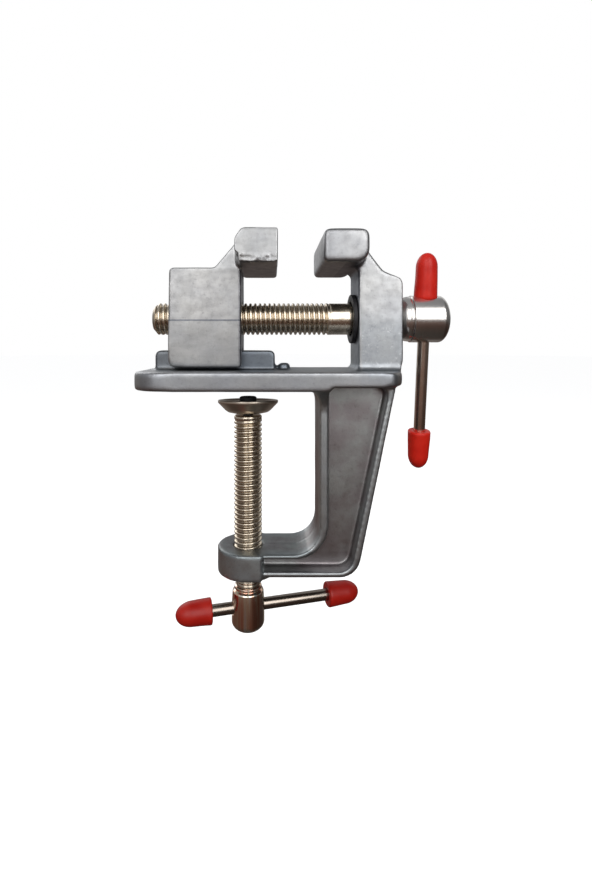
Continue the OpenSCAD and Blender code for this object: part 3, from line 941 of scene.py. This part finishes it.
make_cap("main_cap_down", DOWN_AXIS, MAIN_HANDLE, "main_handle_cap_lower", MAIN_DOWN, 12.8, 3.6, VINYL, 2)
make_cap("clamp_cap_left", LEFT_AXIS, CLAMP_HANDLE, "clamp_handle_cap_left",
         CLAMP_LEFT, 11.1, 3.9, SHADED_RED_VINYL, 3)
make_cap("clamp_cap_right", CLAMP_BAR, CLAMP_HANDLE, "clamp_handle_cap_right",
         CLAMP_RIGHT, 11.1, 3.9, SHADED_RED_VINYL, 4)


# ---------------------------------------------------------------- floor, lights and camera


def make_floor():
    """A pale floor, just under the lowest place that the clamp screw's head reaches."""
    lowest = CLAMP[0].z * MM + joint("clamp_pad_lift")["range_m"][0]
    radius = 6
    bm = bmesh.new()
    bmesh.ops.create_circle(bm, cap_ends=True, radius=radius, segments=96)
    bmesh.ops.translate(bm, verts=bm.verts, vec=(0, 0, lowest - 2 * MM))
    floor = from_bmesh("floor", bm)
    n = Surface("pale_floor")
    n.set(Base_Color=(0.8, 0.8, 0.8), Roughness=0.9, Emission_Color=(1, 1, 1), Emission_Strength=0.75)
    floor.data.materials.append(n.material)
    floor.visible_glossy = False
    floor.visible_diffuse = False


def make_world():
    """Plain white to the camera. To the object: bright above, darker and warmer below, dim from the right."""
    world = bpy.data.worlds.new("studio")
    bpy.context.scene.world = world
    world.use_nodes = True
    n = Nodes(world.node_tree)
    x, y, z = n.xyz(n.new("TexCoord").outputs["Generated"])
    by_height = n.ramp(n.between(z, -1, 1), [
        (0.0, (0.05, 0.045, 0.04)), (0.25, (0.08, 0.046, 0.036)), (0.36, (0.125, 0.072, 0.055)),
        (0.42, (0.16, 0.13, 0.12)), (0.50, (0.33, 0.33, 0.33)), (0.66, (0.43, 0.43, 0.435)),
        (1.0, (0.27, 0.275, 0.285))])
    table_behind = n.both(n.between(y, 0.45, 0.80), n.between(z, -0.30, -0.55))
    light = n.tree.nodes["Background"]
    n.feed(light.inputs["Color"], n.mix("MIX", table_behind, by_height, (0.26, 0.245, 0.235)))
    n.feed(light.inputs["Strength"], n.between(x, 0.2, 0.65, 1.0, 0.35))
    backdrop = n.new("Background", Color=(1, 1, 1), Strength=1.0)
    either = n.new("MixShader", Fac=n.new("LightPath").outputs["Is Camera Ray"])
    n.feed(either.inputs[1], light.outputs[0])
    n.feed(either.inputs[2], backdrop.outputs[0])
    n.feed(n.tree.nodes["World Output"].inputs["Surface"], either.outputs[0])


def make_light(name, at, target, size, power):
    data = bpy.data.lights.new(name, "AREA")
    data.shape = "RECTANGLE"
    data.size, data.size_y = size
    data.energy = power
    lamp = bpy.data.objects.new(name, data)
    bpy.context.scene.collection.objects.link(lamp)
    lamp.location = at
    lamp.rotation_euler = (Vector(target) - Vector(at)).to_track_quat("-Z", "Y").to_euler()
    lamp.visible_camera = False


def make_camera():
    data = bpy.data.cameras.new("camera")
    data.lens = 19.14
    data.sensor_width = 36
    data.shift_x = 0.027
    data.shift_y = -0.1126
    data.clip_start = 0.01
    camera = bpy.data.objects.new("camera", data)
    bpy.context.scene.collection.objects.link(camera)
    camera.location = (0.0076, -0.150, 0.0136)
    camera.rotation_euler = (math.radians(90), 0, 0)
    bpy.context.scene.camera = camera


JAWS, MIDDLE = (0.01, 0, 0.02), (0.01, 0, 0.0)
make_floor()
make_world()
make_light("window_left", (-0.18, -0.50, 0.245), JAWS, (0.31, 0.50), 1.15)
make_light("window_right", (0.24, -0.49, 0.245), JAWS, (0.32, 0.50), 1.5)
make_light("back_left", (-0.34, 0.46, 0.30), MIDDLE, (0.40, 0.50), 0.8)
make_light("back_right", (0.38, 0.44, 0.30), MIDDLE, (0.40, 0.50), 0.25)
make_camera()
bpy.context.scene.view_settings.view_transform = "Standard"
